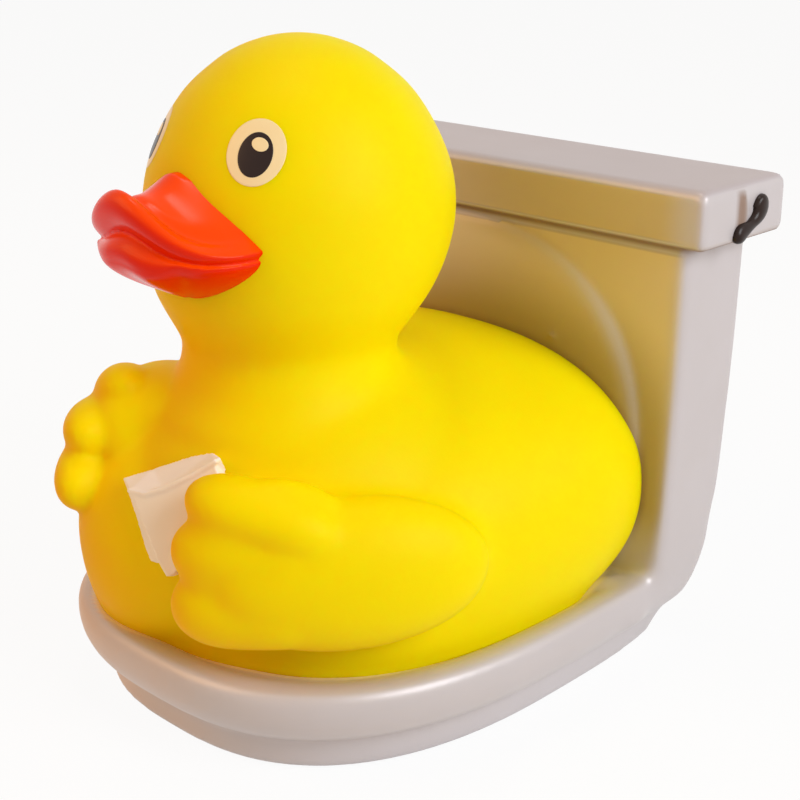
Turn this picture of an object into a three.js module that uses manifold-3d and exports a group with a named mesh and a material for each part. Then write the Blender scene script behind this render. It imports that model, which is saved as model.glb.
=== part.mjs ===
import * as THREE from 'three';
import { mergeVertices } from 'three/addons/utils/BufferGeometryUtils.js';
import Module from 'manifold-3d';

const wasm = await Module();
wasm.setup();

// A bath duck that sits in a toilet: one hollow moulding of soft vinyl, with a squeaker pressed into
// the hole in its base. Millimetres, +Z up, the duck looks along -Y, and x = 0 is the toilet's middle.

// Skin of the moulding, and how coarse its unseen hollow is beside the outside.
const wall = 2;
const hollowDetail = 0.6;

// Head and neck.
const headCentre = { x: 0, y: -10.7, z: 72.5 };
const headRadii = { x: 21.9, front: 21.9, back: 21.9, up: 23.45, down: 24 };
const neckRadius = 15.3;
const neckHeight = 52.5;
const neckReach = 7;
const neckFlare = 4;
const neckSetBack = 2.7;

// Body and chest, two eggs that are sunk in the bowl. The body fades into the front of the tank.
const bodyCentre = { x: 0, y: 10, z: 28 };
const bodyRadii = { x: 37, front: 47, back: 40, up: 22, down: 40 };
const chestCentre = { x: 0, y: -8, z: 30 };
const chestRadii = { x: 29, front: 30, back: 26, up: 22.5, down: 24 };

// Bill: two rounded lips that leave the head.
const upperLip = { x: 0, y: -32, z: 75 };
const upperLipRadii = { x: 12.6, front: 10.2, back: 12, up: 4.6, down: 4.4 };
const lowerLip = { x: 0, y: -32, z: 67.4 };
const lowerLipRadii = { x: 12.2, front: 9.4, back: 12, up: 4.6, down: 5.4 };

// Wings. Each is an arm that lies on the belly and ends in three fingers.
const armRadii = { length: 21.5, height: 10.6, thickness: 7 };
const nearArm = { x: 23.6, y: -27.6, z: 28.6 };
const nearShoulder = { x: 38, y: -9, z: 30 };
const farArm = { x: -27, y: -22, z: 30 };
const farShoulder = { x: -38, y: -5, z: 29 };
const fingerRadii = { length: 9, height: 4.4, thickness: 5 };
const nearFingers = [
  { x: 16, y: -35.8, z: 37.6 },
  { x: 14.6, y: -37.4, z: 31.2 },
  { x: 14.8, y: -36.8, z: 25 },
];
const farFingers = [
  { x: -18.5, y: -30.2, z: 45 },
  { x: -18.5, y: -34, z: 40.6 },
  { x: -17.5, y: -36.4, z: 35 },
];
const nearWrist = { x: 30, y: -26, z: 29 };
const farWrist = { x: -30, y: -20, z: 36 };

// Paper sheet that the near hand holds.
const paperSize = { width: 14, depth: 6.5, height: 15 };
const paperCentre = { x: 2, y: -36.6, z: 34 };
const paperTurn = 24;
const paperLean = -10;

// Toilet bowl with its seat.
const bowlCentre = 10;
const bowlHalfWidth = 37.1;
const bowlReach = 50.9;
const bowlSquareness = 2.65;
const bowlUnderside = 5.8;
const seatHeight = 14.2;
const seatFlare = 1.1;
const seatBulge = 1.65;
const seatWidth = 6;
const seatDip = 2.4;
const seatRound = 1.2;
const seatCrown = 3;
const seatFall = 0.3;
const footInset = 2.9;
const footRound = 0.9;

// Tank and its lid.
const tankFront = 26;
const tankBack = 41.7;
const tankHalfWidth = 40.4;
const tankTaper = 2.6;
const tankLean = 3.4;
const tankFloor = 10.5;
const tankHeelRadius = 6;
const tankEdgeRadius = 2;
const lidSideOverhang = 3.45;
const lidHalfWidth = tankHalfWidth + lidSideOverhang;
const lidOverhang = 2.2;
const lidHeight = 8.6;
const lidTop = 75.05;
const lidEdgeRadius = 1.6;

// Raised seat lid on the front of the tank. Its top stays just under the tank's lid.
const seatLidHalfWidth = 34.6;
const seatLidCentre = 32.6;
const seatLidTopGap = 1.05;
const seatLidRise = lidTop - lidHeight - seatLidTopGap - seatLidCentre;
const seatLidProud = 1.2;
const seatLidSquareness = 2.3;

// Flush lever on the near end of the lid.
const leverFromBack = 5.7;
const leverBelowTop = 5.25;
const leverCentre = { y: tankBack - leverFromBack, z: lidTop - leverBelowTop };
const leverLength = 9.2;
const leverHalfWidth = 1.5;
const leverProud = 1;
const leverLean = 38;
const leverNarrowEnd = 0.8;

// Squeaker: a case that snaps into the base, the block that carries the reed, and the reed.
const squeakerPlace = 4;
const squeakerRadius = 7.3;
const squeakerGap = 0.3;
const caseHeight = 9.5;
const caseWall = 1.1;
const caseRecess = 0.4;
const caseLip = 2.1;
const caseLipThickness = 1.2;
const airHoleRadius = 1.6;
const blockHeight = 4.6;
const channelWidth = 2.4;
const channelDepth = 3.2;
const reedLength = 9;
const reedWidth = 3.6;
const reedThickness = 0.5;

const vinyl = new THREE.MeshStandardMaterial({ color: 0xffdc05, roughness: 0.42, metalness: 0 });
const caseResin = new THREE.MeshStandardMaterial({ color: 0xe9e6dc, roughness: 0.4, metalness: 0 });
const blockResin = new THREE.MeshStandardMaterial({ color: 0xc9d4dc, roughness: 0.45, metalness: 0 });
const reedBrass = new THREE.MeshStandardMaterial({ color: 0xb08d4c, roughness: 0.3, metalness: 1 });

// A closed three.js geometry becomes a solid once its corners are shared.
function solid(geometry) {
  const bare = geometry.clone();
  bare.deleteAttribute('normal');
  bare.deleteAttribute('uv');
  const merged = mergeVertices(bare, 1e-4);
  return new wasm.Manifold(new wasm.Mesh({
    numProp: 3,
    vertProperties: new Float32Array(merged.attributes.position.array),
    triVerts: new Uint32Array(merged.index.array),
  }));
}

function meshOf(name, shape, material) {
  const result = shape.getMesh();
  const geometry = new THREE.BufferGeometry();
  geometry.setAttribute('position', new THREE.Float32BufferAttribute(result.vertProperties, 3));
  geometry.setIndex(new THREE.BufferAttribute(new Uint32Array(result.triVerts), 1));
  geometry.computeVertexNormals();
  const mesh = new THREE.Mesh(geometry, material);
  mesh.name = name;
  return mesh;
}

function union(shapes) {
  return shapes.reduce((whole, next) => whole.add(next));
}

function moveVertices(geometry, move) {
  const position = geometry.attributes.position;
  const point = new THREE.Vector3();
  for (let i = 0; i < position.count; i += 1) {
    point.fromBufferAttribute(position, i);
    move(point, i);
    position.setXYZ(i, point.x, point.y, point.z);
  }
  return geometry;
}

// An egg has a radius of its own towards each side.
function egg(centre, radii, segments, rings) {
  const ball = new THREE.SphereGeometry(1, segments, rings);
  ball.rotateX(Math.PI / 2);
  moveVertices(ball, (point) => {
    point.x = centre.x + point.x * radii.x;
    point.y = centre.y + point.y * (point.y < 0 ? radii.front : radii.back);
    point.z = centre.z + point.z * (point.z < 0 ? radii.down : radii.up);
  });
  return solid(ball);
}

// A pad is an ellipsoid whose length points from its centre towards another point.
function pad(centre, towards, radii, segments, rings) {
  const ball = new THREE.SphereGeometry(1, segments, rings);
  ball.scale(radii.length, radii.thickness, radii.height);
  const along = new THREE.Vector3().subVectors(towards, centre).normalize();
  const across = new THREE.Vector3().crossVectors(new THREE.Vector3(0, 0, 1), along).normalize();
  const upward = new THREE.Vector3().crossVectors(along, across);
  ball.applyMatrix4(new THREE.Matrix4().makeBasis(along, across, upward));
  ball.translate(centre.x, centre.y, centre.z);
  return solid(ball);
}

function box(low, high) {
  const size = new THREE.Vector3().subVectors(high, low);
  const block = new THREE.BoxGeometry(size.x, size.y, size.z);
  block.translate((low.x + high.x) / 2, (low.y + high.y) / 2, (low.z + high.z) / 2);
  return solid(block);
}

// Every size of a shape, drawn in by the same amount.
function drawnIn(radii, inset) {
  return Object.fromEntries(Object.entries(radii).map(([side, size]) => [side, size - inset]));
}

// The hollow is seen by nobody, so its shapes are coarser than the outside.
function steps(count, inset) {
  return inset > 0 ? Math.round(count * hollowDetail) : count;
}

function head(inset) {
  return egg(headCentre, drawnIn(headRadii, inset), steps(28, inset), steps(18, inset));
}

// The neck is turned: a waist that opens into the head above and the shoulders below.
function neck(inset) {
  const rings = 6;
  const profile = [new THREE.Vector2(0, -neckReach)];
  for (let i = 0; i <= rings; i += 1) {
    const along = -1 + (2 * i) / rings;
    profile.push(new THREE.Vector2(neckRadius - inset + neckFlare * along * along, along * neckReach));
  }
  profile.push(new THREE.Vector2(0, neckReach));
  const turned = new THREE.LatheGeometry(profile, steps(28, inset));
  turned.rotateX(Math.PI / 2);
  turned.translate(0, headCentre.y - neckSetBack, neckHeight);
  return solid(turned);
}

// The body stops just inside the tank, so that nothing of it shows behind.
function body(inset) {
  const whole = egg(bodyCentre, drawnIn(bodyRadii, inset), steps(34, inset), steps(20, inset));
  const low = new THREE.Vector3(-bodyRadii.x, bodyCentre.y - bodyRadii.front, inset + bowlUnderside);
  const high = new THREE.Vector3(bodyRadii.x, tankFront + wall + inset, bodyCentre.z + bodyRadii.up);
  return whole.intersect(box(low, high));
}

function chest(inset) {
  const whole = egg(chestCentre, drawnIn(chestRadii, inset), steps(28, inset), steps(16, inset));
  const reach = chestRadii.x;
  const low = new THREE.Vector3(-reach, chestCentre.y - chestRadii.front, inset + bowlUnderside);
  const high = new THREE.Vector3(reach, chestCentre.y + chestRadii.back, chestCentre.z + chestRadii.up);
  return whole.intersect(box(low, high));
}

// A turned shape whose rings are moved out to the oval plan of the bowl.
function ovalTurning(profile, segments) {
  const flat = profile.map(({ z }, j) => new THREE.Vector2(j === 0 || j === profile.length - 1 ? 0 : 1, z));
  const turned = new THREE.LatheGeometry(flat, segments);
  turned.rotateX(Math.PI / 2);
  const power = 2 / bowlSquareness;
  return moveVertices(turned, (point, i) => {
    const ring = profile[i % profile.length];
    const across = Math.sign(point.x) * Math.abs(point.x) ** power;
    const along = Math.sign(point.y) * Math.abs(point.y) ** power;
    point.x = across * (bowlHalfWidth + ring.out);
    point.y = bowlCentre + along * (bowlReach + ring.out);
  });
}

// Foot, rounded underside, flared band and seat, from the floor up to the duck.
function bowl(inset) {
  const floor = inset;
  const top = seatHeight - inset;
  const profile = [
    { out: 0, z: floor },
    { out: -footInset - footRound, z: floor },
    { out: -footInset, z: floor + footRound },
    { out: -footInset, z: bowlUnderside - footRound + inset },
    { out: -footRound, z: bowlUnderside + inset },
    { out: 0, z: bowlUnderside + footRound + inset },
    { out: seatBulge, z: (bowlUnderside + seatHeight) / 2 },
    { out: seatFlare, z: top - seatRound },
    { out: seatFlare - seatRound, z: top },
    { out: seatFlare - seatCrown, z: top - seatFall },
    { out: seatFlare - seatWidth, z: top - seatDip },
    { out: 0, z: top - seatDip },
  ].map((ring) => ({ out: ring.out - inset, z: ring.z }));
  const whole = solid(ovalTurning(profile, steps(44, inset)));
  const reach = bowlHalfWidth + seatFlare * 2;
  const low = new THREE.Vector3(-reach, bowlCentre - bowlReach - seatFlare * 2, 0);
  const high = new THREE.Vector3(reach, tankBack - tankLean - inset, seatHeight);
  return whole.intersect(box(low, high));
}

// The tank's side view is drawn once, then carried across its width and tapered downwards.
function tank(inset) {
  const front = tankFront + inset;
  const back = tankBack - inset;
  const floor = tankFloor + inset;
  const top = lidTop - lidHeight / 2;
  const heel = tankHeelRadius - inset;
  const side = new THREE.Shape();
  side.moveTo(front, floor);
  side.lineTo(back - tankLean - heel, floor);
  side.absarc(back - tankLean - heel, floor + heel, heel, -Math.PI / 2, -Math.PI / 8, false);
  side.quadraticCurveTo(back, (floor + top) / 2, back, top);
  side.lineTo(front, top);
  side.closePath();
  const edge = tankEdgeRadius - inset / 2;
  const across = new THREE.ExtrudeGeometry(side, {
    depth: 2 * (tankHalfWidth - inset - edge),
    bevelEnabled: true,
    bevelSize: edge,
    bevelThickness: edge,
    bevelOffset: -edge,
    bevelSegments: 2,
    curveSegments: 5,
  });
  across.translate(0, 0, edge + inset - tankHalfWidth);
  const toSide = new THREE.Matrix4().makeBasis(
    new THREE.Vector3(0, 1, 0),
    new THREE.Vector3(0, 0, 1),
    new THREE.Vector3(1, 0, 0),
  );
  across.applyMatrix4(toSide);
  moveVertices(across, (point) => {
    const depth = (top - point.z) / (top - tankFloor);
    point.x *= 1 - (tankTaper / tankHalfWidth) * depth * depth;
  });
  return solid(across);
}

function lid(inset) {
  const reach = lidHalfWidth - inset;
  const front = tankFront - lidOverhang + inset;
  const back = tankBack + lidOverhang - inset;
  const corner = lidEdgeRadius - inset / 2;
  const plan = new THREE.Shape();
  plan.moveTo(-reach, front);
  plan.lineTo(reach, front);
  plan.lineTo(reach, back);
  plan.lineTo(-reach, back);
  plan.closePath();
  const slab = new THREE.ExtrudeGeometry(plan, {
    depth: lidHeight - 2 * inset - 2 * corner,
    bevelEnabled: true,
    bevelSize: corner,
    bevelThickness: corner,
    bevelOffset: -corner,
    bevelSegments: 2,
  });
  slab.translate(0, 0, lidTop - lidHeight + inset + corner);
  return solid(slab);
}

function seatLid() {
  const outline = new THREE.Shape();
  const corners = 36;
  const power = 2 / seatLidSquareness;
  for (let i = 0; i < corners; i += 1) {
    const turn = (2 * Math.PI * i) / corners;
    const across = Math.sign(Math.cos(turn)) * Math.abs(Math.cos(turn)) ** power;
    const up = Math.sign(Math.sin(turn)) * Math.abs(Math.sin(turn)) ** power;
    const u = across * seatLidHalfWidth;
    const v = seatLidCentre + up * (up < 0 ? seatLidCentre - seatHeight + wall : seatLidRise);
    if (i === 0) outline.moveTo(u, v);
    else outline.lineTo(u, v);
  }
  outline.closePath();
  const panel = new THREE.ExtrudeGeometry(outline, {
    depth: wall,
    bevelEnabled: true,
    bevelSize: seatLidProud,
    bevelThickness: seatLidProud,
    bevelOffset: -seatLidProud,
    bevelSegments: 2,
  });
  panel.rotateX(Math.PI / 2);
  panel.translate(0, tankFront + wall, 0);
  return solid(panel);
}

function lever() {
  const reach = leverLength / 2 - leverHalfWidth;
  const outline = new THREE.Shape();
  outline.absarc(reach, 0, leverHalfWidth, -Math.PI / 2, Math.PI / 2, false);
  outline.absarc(-reach, 0, leverHalfWidth * leverNarrowEnd, Math.PI / 2, (3 * Math.PI) / 2, false);
  outline.closePath();
  const handle = new THREE.ExtrudeGeometry(outline, {
    depth: wall / 2 + leverProud,
    bevelEnabled: false,
    curveSegments: 5,
  });
  handle.rotateZ(THREE.MathUtils.degToRad(leverLean));
  const toEnd = new THREE.Matrix4().makeBasis(
    new THREE.Vector3(0, 1, 0),
    new THREE.Vector3(0, 0, 1),
    new THREE.Vector3(1, 0, 0),
  );
  handle.applyMatrix4(toEnd);
  handle.translate(lidHalfWidth - wall / 2, leverCentre.y, leverCentre.z);
  return solid(handle);
}

function bill() {
  return union([egg(upperLip, upperLipRadii, 20, 12), egg(lowerLip, lowerLipRadii, 20, 12)]);
}

function wing(arm, armEnd, fingers, wrist) {
  const pads = fingers.map((finger) => pad(finger, wrist, fingerRadii, 12, 8));
  return union([pad(arm, armEnd, armRadii, 20, 12), ...pads]);
}

function paper() {
  const sheet = new THREE.BoxGeometry(paperSize.width, paperSize.depth, paperSize.height);
  sheet.rotateX(THREE.MathUtils.degToRad(paperLean));
  sheet.rotateZ(THREE.MathUtils.degToRad(paperTurn));
  sheet.translate(paperCentre.x, paperCentre.y, paperCentre.z);
  return solid(sheet);
}

function upright(radius, low, high, segments) {
  const rod = new THREE.CylinderGeometry(radius, radius, high - low, segments);
  rod.rotateX(Math.PI / 2);
  rod.translate(0, squeakerPlace, (low + high) / 2);
  return solid(rod);
}

// The skin is the outside less the same shapes drawn in by the wall.
function duckBody() {
  const outside = union([
    body(0),
    chest(0),
    neck(0),
    head(0),
    bill(),
    wing(nearArm, nearShoulder, nearFingers, nearWrist),
    wing(farArm, farShoulder, farFingers, farWrist),
    paper(),
    bowl(0),
    tank(0),
    lid(0),
    seatLid(),
    lever(),
  ]);
  const hollow = union([body, chest, neck, head, bowl, tank, lid].map((shape) => shape(wall)));
  const hole = upright(squeakerRadius + squeakerGap, -wall, caseHeight, 32);
  return outside.subtract(hollow).subtract(hole);
}

function squeakerCase() {
  const lipBottom = wall + squeakerGap;
  const barrel = upright(squeakerRadius, caseRecess, caseRecess + caseHeight, 32);
  const lip = upright(squeakerRadius + caseLip, lipBottom, lipBottom + caseLipThickness, 32);
  const bore = upright(squeakerRadius - caseWall, caseRecess + caseWall, 2 * caseHeight, 32);
  const airHole = upright(airHoleRadius, -wall, caseHeight, 16);
  return barrel.add(lip).subtract(bore).subtract(airHole);
}

const blockBottom = caseRecess + caseWall + squeakerGap;
const blockTop = blockBottom + blockHeight;

function reedBlock() {
  const radius = squeakerRadius - caseWall - squeakerGap;
  const block = upright(radius, blockBottom, blockTop, 32);
  const channelLow = new THREE.Vector3(-channelWidth / 2, squeakerPlace - channelDepth / 2, 0);
  const channelHigh = new THREE.Vector3(channelWidth / 2, squeakerPlace + channelDepth / 2, 2 * caseHeight);
  return block.subtract(box(channelLow, channelHigh));
}

function reed() {
  const bottom = blockTop + squeakerGap;
  const low = new THREE.Vector3(-reedWidth / 2, squeakerPlace - reedLength / 2, bottom);
  const high = new THREE.Vector3(reedWidth / 2, squeakerPlace + reedLength / 2, bottom + reedThickness);
  return box(low, high);
}

const toy = new THREE.Group();
toy.add(meshOf('duck_body', duckBody(), vinyl));
toy.add(meshOf('squeaker_case', squeakerCase(), caseResin));
toy.add(meshOf('reed_block', reedBlock(), blockResin));
toy.add(meshOf('reed', reed(), reedBrass));

// The origin is the middle of the base.
const extent = new THREE.Box3().setFromObject(toy);
toy.position.set(-(extent.min.x + extent.max.x) / 2, -(extent.min.y + extent.max.y) / 2, -extent.min.z);

export default toy;
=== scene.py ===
# %% [markdown]
# # A bath duck that sits in a toilet
# The real thing is one hollow moulding of soft yellow vinyl. The toilet, the bill, the eyes and the
# sheet of paper are paint on that moulding, and a squeaker is pressed into its base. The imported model
# is loaded first, because everything here is placed from it.

# %% Load the fixed frame
import math

import bmesh
import bpy
from mathutils import Matrix, Vector
from mathutils.bvhtree import BVHTree


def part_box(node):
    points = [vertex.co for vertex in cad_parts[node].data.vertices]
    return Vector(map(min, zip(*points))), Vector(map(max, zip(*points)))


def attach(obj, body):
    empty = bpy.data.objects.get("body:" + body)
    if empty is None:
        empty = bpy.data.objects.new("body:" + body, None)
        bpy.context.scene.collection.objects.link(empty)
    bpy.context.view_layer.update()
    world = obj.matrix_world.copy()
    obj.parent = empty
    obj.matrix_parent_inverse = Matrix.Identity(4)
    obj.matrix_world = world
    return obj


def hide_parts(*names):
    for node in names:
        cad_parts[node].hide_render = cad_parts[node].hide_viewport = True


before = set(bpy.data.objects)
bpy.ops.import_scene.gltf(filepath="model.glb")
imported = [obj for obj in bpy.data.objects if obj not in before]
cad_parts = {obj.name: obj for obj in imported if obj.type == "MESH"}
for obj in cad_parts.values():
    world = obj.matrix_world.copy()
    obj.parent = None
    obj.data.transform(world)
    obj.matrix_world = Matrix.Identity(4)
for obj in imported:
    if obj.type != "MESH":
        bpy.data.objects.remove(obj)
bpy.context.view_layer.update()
print("nodes", sorted(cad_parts))

# %% [markdown]
# Sizes are written in millimetres, seen from the middle of the toilet: +Z is up and the duck looks
# along -Y. The lid's near end and its back are known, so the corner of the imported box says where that
# middle lies.

# %% Where the toilet's middle is
MM = 0.001
LID_HALF_WIDTH = 43.85
LID_FRONT = 23.8
LID_BACK = 43.9
LID_REACH = 45.1
LEVER_PROUD = 1.0
box_low, box_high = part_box("duck_body")
middle = Vector((
    box_high.x - (LID_HALF_WIDTH + LEVER_PROUD) * MM,
    box_high.y - LID_BACK * MM,
    box_low.z,
))


def at(x, y, z):
    return middle + Vector((x, y, z)) * MM


print("toilet middle", [round(v / MM, 2) for v in middle])

# %% [markdown]
# Every operator works on what is selected, so each step first lets go of everything else. These
# helpers hold the few moves that come again and again: take hold of one object, pick vertices by
# their place, apply a modifier, skin several pieces over, and rub one part of a skin smooth.

# %% Hands
def hold(*objects):
    """Lets go of everything and takes hold of these objects, the first one as the active one."""
    if bpy.context.object and bpy.context.object.mode != "OBJECT":
        bpy.ops.object.mode_set(mode="OBJECT")
    bpy.ops.object.select_all(action="DESELECT")
    for thing in objects:
        thing.select_set(True)
    bpy.context.view_layer.objects.active = objects[0]


def pick(test):
    """Selects the vertices whose place passes the test, in edit mode."""
    mesh = bmesh.from_edit_mesh(bpy.context.object.data)
    mesh.select_mode = {"VERT"}
    for vertex in mesh.verts:
        vertex.select = test(vertex.co)
    mesh.select_flush(True)
    mesh.select_flush(False)
    bmesh.update_edit_mesh(bpy.context.object.data)


def shape_vertices(thing, place):
    """Moves each vertex by hand to the place that a rule gives it."""
    for vertex in thing.data.vertices:
        vertex.co = place(vertex.co)
    thing.data.update()


def use(thing, kind, **settings):
    """Puts a modifier on a piece and applies it."""
    hold(thing)
    modifier = thing.modifiers.new(kind.lower(), kind)
    for key, value in settings.items():
        setattr(modifier, key, value)
    bpy.ops.object.modifier_apply(modifier=modifier.name)


def outward(thing):
    """Merges doubled vertices and turns every face outward."""
    hold(thing)
    bpy.ops.object.mode_set(mode="EDIT")
    bpy.ops.mesh.select_all(action="SELECT")
    bpy.ops.mesh.remove_doubles(threshold=0.001 * MM)
    bpy.ops.mesh.normals_make_consistent(inside=False)
    bpy.ops.object.mode_set(mode="OBJECT")


def step(low, high, value):
    """A soft step from 0 at the low end to 1 at the high end."""
    share = min(1, max(0, (value - low) / (high - low)))
    return share * share * (3 - 2 * share)


def rub(thing, name, pressure, rounds):
    """Smooths one part of a piece, as a thumb does with clay. The pressure at a spot is 0 to 1."""
    group = thing.vertex_groups.new(name=name)
    for vertex in thing.data.vertices:
        share = pressure((vertex.co - middle) / MM)
        if share > 0:
            group.add([vertex.index], share, "REPLACE")
    use(thing, "SMOOTH", factor=0.5, iterations=rounds, vertex_group=name)


def fuse(name, pieces, voxel, rounds):
    """Joins the pieces and skins them over, then rubs the joins down to soft fillets."""
    hold(*pieces)
    bpy.ops.object.join()
    whole = bpy.context.object
    whole.name = whole.data.name = name
    use(whole, "REMESH", mode="VOXEL", voxel_size=voxel * MM, adaptivity=0)
    use(whole, "SMOOTH", factor=0.5, iterations=rounds)
    bpy.ops.object.shade_smooth()
    print(name, len(whole.data.polygons), "faces")
    return whole


def finish_piece(piece, slot, *nodes):
    """Every piece rides on the one body that the duck is, and the nodes it stands for are hidden. The slot
    is not used.
    """
    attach(piece, "root")
    if nodes:
        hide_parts(*nodes)


print("a soft step is half way at", step(0, 2, 1))

# %% [markdown]
# A soft vinyl figure has no flat parts, so most of it starts from an egg: a ball that has a radius of
# its own towards each side. The other start is a loft: an outline that is extruded ring by ring, with
# each ring put in its place.

# %% Eggs and lofts
def egg(name, centre, across, front, back, up, down, segments=72, rings=48):
    """A ball with a radius of its own across, to the front, to the back, up and down."""
    bpy.ops.object.select_all(action="DESELECT")
    bpy.ops.mesh.primitive_uv_sphere_add(segments=segments, ring_count=rings, radius=MM)
    ball = bpy.context.object
    ball.name = ball.data.name = name
    bpy.ops.object.mode_set(mode="EDIT")
    bpy.ops.transform.resize(value=(across, 1, 1), center_override=(0, 0, 0))
    sides = [
        (lambda co: co.y < 0, (1, front, 1)),
        (lambda co: co.y > 0, (1, back, 1)),
        (lambda co: co.z > 0, (1, 1, up)),
        (lambda co: co.z < 0, (1, 1, down)),
    ]
    for test, size in sides:
        pick(test)
        bpy.ops.transform.resize(value=size, center_override=(0, 0, 0))
    bpy.ops.mesh.select_all(action="SELECT")
    bpy.ops.transform.translate(value=at(*centre))
    bpy.ops.object.mode_set(mode="OBJECT")
    return ball


def loft(name, outline, places):
    """Extrudes an outline from ring to ring. Each place turns the outline's (u, v) into a point."""
    bpy.ops.object.select_all(action="DESELECT")
    bpy.ops.mesh.primitive_circle_add(vertices=len(outline), radius=MM, fill_type="NGON")
    thing = bpy.context.object
    thing.name = thing.data.name = name
    bpy.ops.object.mode_set(mode="EDIT")
    mesh = bmesh.from_edit_mesh(thing.data)
    mesh.verts.ensure_lookup_table()
    for vertex, (u, v) in zip(mesh.verts, outline):
        vertex.co = places[0](u, v)
    bmesh.update_edit_mesh(thing.data)
    for last, place in zip(places, places[1:]):
        bpy.ops.mesh.extrude_region_move()
        mesh = bmesh.from_edit_mesh(thing.data)
        index = {tuple(round(c, 7) for c in last(u, v)): (u, v) for u, v in outline}
        for vertex in mesh.verts:
            if vertex.select:
                vertex.co = place(*index[tuple(round(c, 7) for c in vertex.co)])
        bmesh.update_edit_mesh(thing.data)
    bpy.ops.object.mode_set(mode="OBJECT")
    outward(thing)
    return thing


def oval(power, count):
    """A squarish oval of unit radius. A power of 2 gives a circle."""
    points = []
    for i in range(count):
        turn = 2 * math.pi * i / count
        c, s = math.cos(turn), math.sin(turn)
        points.append((
            math.copysign(abs(c) ** (2 / power), c),
            math.copysign(abs(s) ** (2 / power), s),
        ))
    return points


def between(keys, value):
    """A smooth curve through (place, size) pairs."""
    if value <= keys[0][0]:
        return keys[0][1]
    if value >= keys[-1][0]:
        return keys[-1][1]
    slopes = []
    for i in range(len(keys)):
        before, after = keys[max(i - 1, 0)], keys[min(i + 1, len(keys) - 1)]
        slopes.append((after[1] - before[1]) / (after[0] - before[0]))
    for i in range(len(keys) - 1):
        (x0, y0), (x1, y1) = keys[i], keys[i + 1]
        if x0 <= value <= x1:
            width = x1 - x0
            t = (value - x0) / width
            return (
                y0 * (2 * t**3 - 3 * t**2 + 1)
                + slopes[i] * width * (t**3 - 2 * t**2 + t)
                + y1 * (3 * t**2 - 2 * t**3)
                + slopes[i + 1] * width * (t**3 - t**2)
            )


print("a round outline's first point", oval(2, 8)[0])

# %% [markdown]
# ## The duck
# The head and neck are turned: a round form whose radius swells from the neck to the cheeks and
# closes over the crown. An egg alone is too thin at the throat, so a profile is drawn and spun, and
# its rings are then shifted, because the throat sits further forward than the crown.

# %% Head and neck, spun from a profile
NECK_FOOT = 44.0
CHEEK_HEIGHT = 72.0
CROWN_HEIGHT = 95.97
CAP_HEIGHT = 93
CAP_RADIUS = 10.4
HEAD_RADII = [
    (NECK_FOOT, 19.0), (48, 16.4), (52.5, 15.2), (54, 15.3), (57, 17.2), (61, 19.6), (66, 21.3),
    (CHEEK_HEIGHT, 21.98), (78, 21.2), (84, 18.65), (89, 15.2), (CAP_HEIGHT, CAP_RADIUS),
]
HEAD_AXIS = [(NECK_FOOT, -13.6), (51, -13.4), (60, -12.2), (CHEEK_HEIGHT, -10.7), (96, -10.5)]


def head_radius(z):
    """The profile, closed by a round cap over the crown."""
    if z <= CAP_HEIGHT:
        return between(HEAD_RADII, z)
    return CAP_RADIUS * math.sqrt(max(0, (CROWN_HEIGHT - z) / (CROWN_HEIGHT - CAP_HEIGHT)))


def head_middle(z):
    return between(HEAD_AXIS, z)


def make_head():
    steps = 56
    rise = CROWN_HEIGHT - NECK_FOOT
    heights = [NECK_FOOT + rise * math.sin(math.pi / 2 * i / steps) for i in range(steps + 1)]
    bpy.ops.object.select_all(action="DESELECT")
    bpy.ops.mesh.primitive_plane_add(size=MM)
    head = bpy.context.object
    bpy.ops.object.mode_set(mode="EDIT")
    bpy.ops.mesh.merge(type="CENTER")
    bpy.ops.transform.translate(value=(0, 0, NECK_FOOT * MM))
    last = Vector((0, 0, NECK_FOOT))
    for z in heights:
        point = Vector((head_radius(z), 0, z))
        bpy.ops.mesh.extrude_region_move(TRANSFORM_OT_translate={"value": (point - last) * MM})
        last = point
    bpy.ops.mesh.select_all(action="SELECT")
    bpy.ops.mesh.spin(steps=96, angle=2 * math.pi, center=(0, 0, 0), axis=(0, 0, 1))
    bpy.ops.object.mode_set(mode="OBJECT")
    shape_vertices(head, lambda co: at(0, head_middle(co.z / MM), 0) + co)
    outward(head)
    return head


head = make_head()
print("head", len(head.data.polygons), "faces")

# %% [markdown]
# The body, the chest and the far side of the belly are eggs that are sunk in the bowl, and a skirt
# fills the bowl below them. The duck's back presses on the tank, so its section is squarer there.
# Later they are skinned over together with the neck, which leaves the soft crease under the head.

# %% Trunk
TANK_FRONT = 26.0
BODY_HALF_WIDTH = 37
BODY_RISE = 22
BODY_MIDDLE = (10, 28)
SKIRT_FOOT = 11.0
SKIRT_TOP = 26.0


def squarer_behind(co):
    """Towards the tank the body's section fills out, from a round one to a squarish one."""
    x, y, z = (co - middle) / MM
    share = min(1, max(0, (y - 4) / 22))
    c, s = abs(x) / BODY_HALF_WIDTH, abs(z - BODY_MIDDLE[1]) / BODY_RISE
    length = math.hypot(c, s)
    grow = 1
    if length > 0 and z > BODY_MIDDLE[1]:
        power = 2 + 0.42 * share
        grow = ((c / length) ** power + (s / length) ** power) ** (-1 / power)
    if z < BODY_MIDDLE[1]:
        grow_down = 1 - 0.275 * min(1, max(0, (y + 15) / 35))
        z = BODY_MIDDLE[1] + (z - BODY_MIDDLE[1]) * grow_down
    x *= (1 + 0.035 * share) * grow
    z = BODY_MIDDLE[1] + (z - BODY_MIDDLE[1]) * grow
    return at(x, min(y, TANK_FRONT + 2), max(z, SKIRT_FOOT))


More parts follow.
